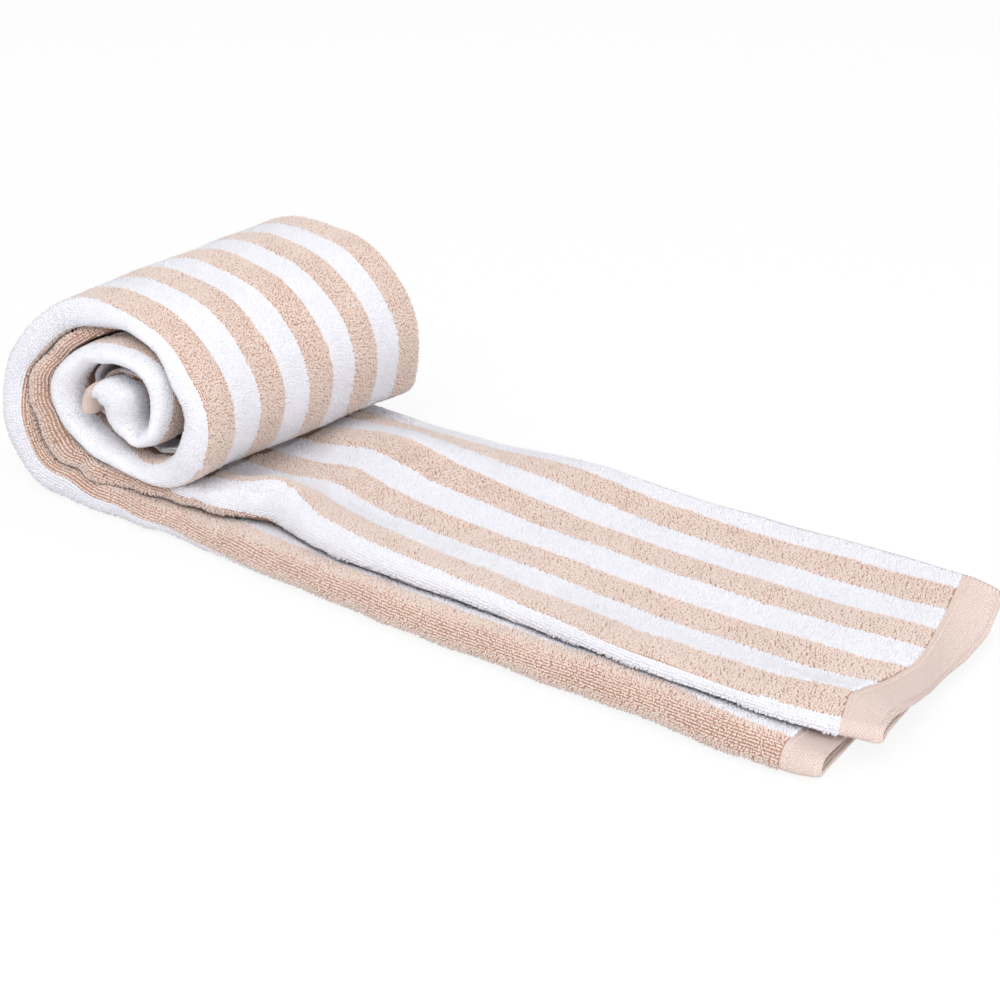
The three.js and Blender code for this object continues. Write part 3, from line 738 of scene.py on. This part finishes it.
# %% Start of a cotton material
def cotton(name, fine_amount, broad_amount, roughness, sheen):
    """A material with the stripes and the grain in place, and its shader."""
    material = bpy.data.materials.new(name)
    material.use_nodes = True
    tree = material.node_tree
    shader = tree.nodes["Principled BSDF"]
    place = node(tree, "ShaderNodeAttribute", "place on the flat cloth", attribute_name="on_cloth")
    dyed_and_painted_shade = node(tree, "ShaderNodeGroup", "dyed stripes and painted shade")
    dyed_and_painted_shade.node_tree = stripes
    grained = node(tree, "ShaderNodeGroup", "cotton grain")
    grained.node_tree = grain
    grained.inputs["Fine amount"].default_value = fine_amount
    grained.inputs["Broad amount"].default_value = broad_amount
    tree.links.new(place.outputs["Vector"], dyed_and_painted_shade.inputs["Place on cloth"])
    # The height in the pile sets the painted shade at the loops' feet.
    raised = node(tree, "ShaderNodeAttribute", "height in the pile", attribute_name="lift")
    tree.links.new(raised.outputs["Fac"], dyed_and_painted_shade.inputs["Lift"])
    tree.links.new(place.outputs["Vector"], grained.inputs["Place on cloth"])
    tree.links.new(dyed_and_painted_shade.outputs["Colour"], grained.inputs["Colour"])
    tree.links.new(grained.outputs["Colour"], shader.inputs["Base Color"])
    shader.inputs["Roughness"].default_value = roughness
    shader.inputs["Sheen Weight"].default_value = sheen
    shader.inputs["Sheen Roughness"].default_value = 0.5
    shader.inputs["Specular IOR Level"].default_value = 0.2
    return material, tree, shader, place, dyed_and_painted_shade, grained

def bumped(tree, shader, height, distance, strength):
    bump = node(tree, "ShaderNodeBump", "relief")
    bump.inputs["Distance"].default_value = distance
    bump.inputs["Strength"].default_value = strength
    tree.links.new(height, bump.inputs["Height"])
    tree.links.new(bump.outputs["Normal"], shader.inputs["Normal"])

# %% [markdown]
# ### The ground and its hem
#
# Between the loops the ground shows only as shadow, so it stays plain, in the painted shade of the
# loops' feet. The hem shows its own weave: fine ribs that run slanting across it. Two wave
# patterns crossed over each other give over and under threads, as relief and as a slight painted
# shade in the colour. The thread pulls a groove into the hem along the stitches and along its end.

# %% Materials of the ground, the loops and the thread
ground_stuff, tree, shader, place, dyed_and_painted_shade, grained = cotton("woven ground", 0.05, 0.05, 0.92, 0.15)
ribs = node(tree, "ShaderNodeTexWave", "threads one way", wave_type="BANDS", bands_direction="DIAGONAL")
ribs.inputs["Scale"].default_value = 0.42
ribs.inputs["Distortion"].default_value = 1.2
ribs.inputs["Detail"].default_value = 1.5
cross = node(tree, "ShaderNodeTexWave", "threads the other way", wave_type="BANDS", bands_direction="X")
cross.inputs["Scale"].default_value = 0.35
cross.inputs["Distortion"].default_value = 1.0
for wave in (ribs, cross):
    tree.links.new(place.outputs["Vector"], wave.inputs["Vector"])
weave = maths(tree, "ADD", ribs.outputs["Fac"], maths(tree, "MULTIPLY", cross.outputs["Fac"], 0.5))
weave = maths(tree, "ADD", weave, grained.outputs["Height"], "threads and grain")
# The threads darken the colour where they dip: painted shade of the weave's ribs, together with the yarn
# grain.
threads = node(tree, "ShaderNodeCombineColor", "threads as a grey")
for socket in threads.inputs[:3]:
    tree.links.new(maths(tree, "MULTIPLY", weave, 0.6), socket)
shaded = mixed(tree, 0.22, grained.outputs["Colour"], threads.outputs[0], "painted shade of the threads", "MULTIPLY")
shaded = mixed(tree, 1.0, shaded, (1.08, 1.08, 1.08, 1.0), "as light as before", "MULTIPLY")
tree.links.new(shaded, shader.inputs["Base Color"])
lies = node(tree, "ShaderNodeSeparateXYZ", "along, across")
tree.links.new(place.outputs["Vector"], lies.inputs[0])
to_far_end = maths(tree, "SUBTRACT", LENGTH, lies.outputs[0])
near_end = maths(tree, "MINIMUM", lies.outputs[0], to_far_end, "from the end")
for seam in (HEM_WIDTH - STITCH_IN, EDGE_SEAM):
    off = maths(tree, "SUBTRACT", near_end, seam)
    squared = maths(tree, "MULTIPLY", maths(tree, "MULTIPLY", off, off), -1.0)
    pulled = maths(tree, "EXPONENT", squared, label="groove")
    weave = maths(tree, "SUBTRACT", weave, maths(tree, "MULTIPLY", pulled, 1.6))
bumped(tree, shader, weave, 0.0005, 1.0)

loop_stuff, tree, shader, place, dyed_and_painted_shade, grained = cotton("cotton loops", 0.10, 0.05, 0.9, 0.25)
twist = node(tree, "ShaderNodeTexNoise", "twist of the yarn")
twist.inputs["Scale"].default_value = 2600.0
twist.inputs["Detail"].default_value = 1.0
where = node(tree, "ShaderNodeTexCoord", "where")
tree.links.new(where.outputs["Object"], twist.inputs["Vector"])
bumped(tree, shader, twist.outputs["Fac"], 0.0003, 0.5)

ground.data.materials.append(ground_stuff)

# %% [markdown]
# ## Make the pile
#
# The loops are split over a few pieces, side by side along the cloth, because a piece with too
# many faces is slow to handle and to export.

# %% Build the pile pieces
pile = []
corners_each = len(LOOP_POINTS)
for side, name in ((1, "outer"), (-1, "inner")):
    shape, corner_flat, root, lift = loops_at(side, roots[side])
    order = np.argsort(roots[side][:, 0], kind="stable")
    for part, chosen in enumerate(np.array_split(order, math.ceil(len(order) / MOST_LOOPS))):
        rows_of = (chosen[:, None] * corners_each + np.arange(corners_each)).ravel()
        corners = (LOOP_FACES[None] + corners_each * np.arange(len(chosen))[:, None, None]).ravel()
        piece = make_mesh(f"pile_{name}_{part + 1}", to_metres(shape[rows_of]), corners, 3)
        put_on_cloth(piece, corner_flat[rows_of], root[rows_of], lift[rows_of])
        piece.data.materials.append(loop_stuff)
        pile.append(piece)
        print(piece.name, len(chosen), "loops", len(piece.data.polygons), "triangles")

# %% [markdown]
# ## The hem's stitches
#
# A line of straight stitches holds each hem down, three millimetres from its inner edge.
# A stitch is a low lump of thread, so the same small shape serves, drawn out long across the
# cloth.

# %% Sew the hems
STITCH_POINTS = (
    (-0.9, -0.7, -0.4), (0.9, -0.7, -0.4), (0.9, 0.7, -0.4), (-0.9, 0.7, -0.4),
    (0, -1, 0.6), (1, 0, 0.1), (0, 1, 0.6), (-1, 0, 0.1), (0, 0, 1))
STITCH_FACES = np.array([
    (0, 1, 4), (1, 5, 4), (1, 2, 5), (2, 6, 5), (2, 3, 6), (3, 7, 6), (3, 0, 7), (0, 4, 7),
    (4, 5, 8), (5, 6, 8), (6, 7, 8), (7, 4, 8)])
STITCH_LONG, STITCH_THICK = 1.35, 0.42    # half sizes

def stitches_on(side, from_start):
    line = HEM_WIDTH - STITCH_IN if from_start else LENGTH - HEM_WIDTH + STITCH_IN
    ring = np.interp(line, along_cloth, np.arange(rings))
    across = np.arange(4, WIDTH - 4, STITCH_STEP)
    column = np.interp(across, cloth_y[int(ring)], np.arange(across_count))
    is_open = open_on[side][int(round(ring)), np.rint(column).astype(int)]
    across, column = across[is_open], column[is_open]
    ring = np.full(len(column), ring)
    base = at_grid(faces_of_cloth[side], ring, column)
    n = unit(at_grid(outward[side], ring, column))
    sideways = unit(at_grid(np.gradient(middle, axis=1), ring, column))
    b = np.cross(n, sideways)
    shape = np.stack([base + sideways * STITCH_LONG * x + b * STITCH_THICK * y + n * STITCH_THICK * z
                      for x, y, z in STITCH_POINTS], 1)
    flat = np.stack([np.full(len(across), line), across], -1)
    return shape, np.repeat(flat[:, None], len(STITCH_POINTS), axis=1)

sewn = [stitches_on(side, start) for side in (1, -1) for start in (True, False)]
shape = np.concatenate([s[0] for s in sewn])
flat_at = np.concatenate([s[1] for s in sewn]).reshape(-1, 2)
corners = (STITCH_FACES[None] + len(STITCH_POINTS) * np.arange(len(shape))[:, None, None]).ravel()
stitches = make_mesh("hem_stitches", to_metres(shape), corners, 3)
flat_spread = flat_at + rng.uniform(-0.6, 0.6, flat_at.shape)
dyed_at = np.column_stack([flat_at, np.full(len(flat_at), 0.5)])
put_on_cloth(stitches, flat_spread, dyed_at, np.ones(len(flat_at)))
stitches.data.materials.append(loop_stuff)
print("stitches:", len(shape))

for piece in [ground, stitches] + pile:
    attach(piece, "root")
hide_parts("bath_sheet")

# %% [markdown]
# ## Floor, camera and light
#
# The towel lies on a plain pale floor under big soft lamps. The floor shows white to the camera
# and still takes the towel's shadow. The lamps stay at a plain level, at which a colour renders
# about as it is written.

# %% The floor
bpy.ops.object.select_all(action="DESELECT")
bpy.ops.mesh.primitive_plane_add(size=12, location=(0, 0, -0.0004))
floor = bpy.context.object
floor.name = "floor"
paper = bpy.data.materials.new("pale paper")
paper.use_nodes = True
tree = paper.node_tree
shader = tree.nodes["Principled BSDF"]
shader.inputs["Base Color"].default_value = (0.86, 0.86, 0.86, 1)
shader.inputs["Roughness"].default_value = 1.0
shader.inputs["Specular IOR Level"].default_value = 0.0
seen = node(tree, "ShaderNodeLightPath", "what looks at it")
glow = node(tree, "ShaderNodeEmission", "white to the camera")
both = node(tree, "ShaderNodeMixShader", "floor")
looks = maths(tree, "MAXIMUM", seen.outputs["Is Camera Ray"], seen.outputs["Is Glossy Ray"])
looks = maths(tree, "MAXIMUM", looks, seen.outputs["Is Transmission Ray"])
tree.links.new(maths(tree, "MULTIPLY", looks, 0.86), both.inputs[0])
tree.links.new(shader.outputs[0], both.inputs[1])
tree.links.new(glow.outputs[0], both.inputs[2])
tree.links.new(both.outputs[0], tree.nodes["Material Output"].inputs["Surface"])
floor.data.materials.append(paper)

# %% The camera
LENS, SENSOR = 71.53, 36.0
EYE = (np.array([824.5, -850.1, 596.3]) - MIDDLE) * MM
YAW, PITCH, ROLL = (math.radians(x) for x in (32.5, 26.0, 2.3))
ahead = np.array([-math.sin(YAW) * math.cos(PITCH), math.cos(YAW) * math.cos(PITCH), -math.sin(PITCH)])
right = np.array([math.cos(YAW), math.sin(YAW), 0.0])
up = np.cross(right, ahead)
right, up = math.cos(ROLL) * right + math.sin(ROLL) * up, math.cos(ROLL) * up - math.sin(ROLL) * right
camera = bpy.data.objects.new("camera", bpy.data.cameras.new("camera"))
camera.data.lens, camera.data.sensor_width = LENS, SENSOR
camera.matrix_world = Matrix([
    (right[0], up[0], -ahead[0], EYE[0]), (right[1], up[1], -ahead[1], EYE[1]),
    (right[2], up[2], -ahead[2], EYE[2]), (0, 0, 0, 1)])
bpy.context.scene.collection.objects.link(camera)
bpy.context.scene.camera = camera

# %% The lamps and the world
def soft_lamp(name, place, size, power):
    light = bpy.data.lights.new(name, "AREA")
    light.shape, light.size, light.energy = "DISK", size, power
    lamp = bpy.data.objects.new(name, light)
    lamp.location = place
    lamp.rotation_euler = (Vector((0, 0, 0.05)) - Vector(place)).to_track_quat("-Z", "Y").to_euler()
    bpy.context.scene.collection.objects.link(lamp)

soft_lamp("key", (0.2, -1.4, 2.2), 1.8, 18)
soft_lamp("fill", (1.8, -1.6, 1.2), 2.0, 27)
soft_lamp("top", (0.4, 1.2, 2.2), 1.8, 4)
world = bpy.data.worlds.new("studio")
bpy.context.scene.world = world
world.use_nodes = True
tree = world.node_tree
plain = tree.nodes["Background"]
plain.inputs[0].default_value = (0.97, 0.98, 1.0, 1)
plain.inputs[1].default_value = 0.88
white = node(tree, "ShaderNodeBackground", "white to the camera")
white.inputs[0].default_value = (1, 1, 1, 1)
seen = node(tree, "ShaderNodeLightPath", "what looks at it")
both = node(tree, "ShaderNodeMixShader", "world")
looks = maths(tree, "MAXIMUM", seen.outputs["Is Camera Ray"], seen.outputs["Is Glossy Ray"])
looks = maths(tree, "MAXIMUM", looks, seen.outputs["Is Transmission Ray"])
tree.links.new(looks, both.inputs[0])
tree.links.new(plain.outputs[0], both.inputs[1])
tree.links.new(white.outputs[0], both.inputs[2])
tree.links.new(both.outputs[0], tree.nodes["World Output"].inputs["Surface"])
bpy.context.scene.view_settings.view_transform = "Standard"
